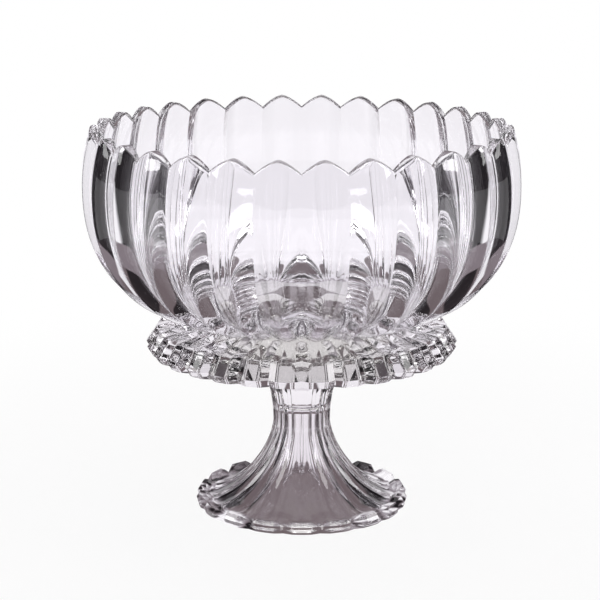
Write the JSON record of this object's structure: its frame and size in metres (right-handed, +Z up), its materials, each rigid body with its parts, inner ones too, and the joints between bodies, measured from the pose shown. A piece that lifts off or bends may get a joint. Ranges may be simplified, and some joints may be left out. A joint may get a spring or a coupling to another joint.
{
  "type": "footed crystal bowl",
  "caption": "Clear pressed-crystal centrepiece bowl with pleated sides and a zigzag rim, on a toothed plate and a hollow fluted pedestal foot.",
  "frame": {"origin": "centre of the foot ring's underside, on the surface that the bowl stands on", "axes": "+Z up along the bowl's axis; -Y is the pictured front, where a groove of the bowl and a petal of the foot face the viewer; +X to the viewer's right"},
  "size_m": [0.25, 0.2486, 0.223],
  "materials": {
    "crystal": "clear, fire-polished pressed crystal with a faint lavender cast",
    "adhesive": "clear cured glass adhesive"
  },
  "bodies": {
    "root": {"bowl": "crystal", "bowl_bond_film": "adhesive", "toothed_plate": "crystal", "pedestal_bond_film": "adhesive", "pedestal": "crystal"}
  },
  "joints": []
}
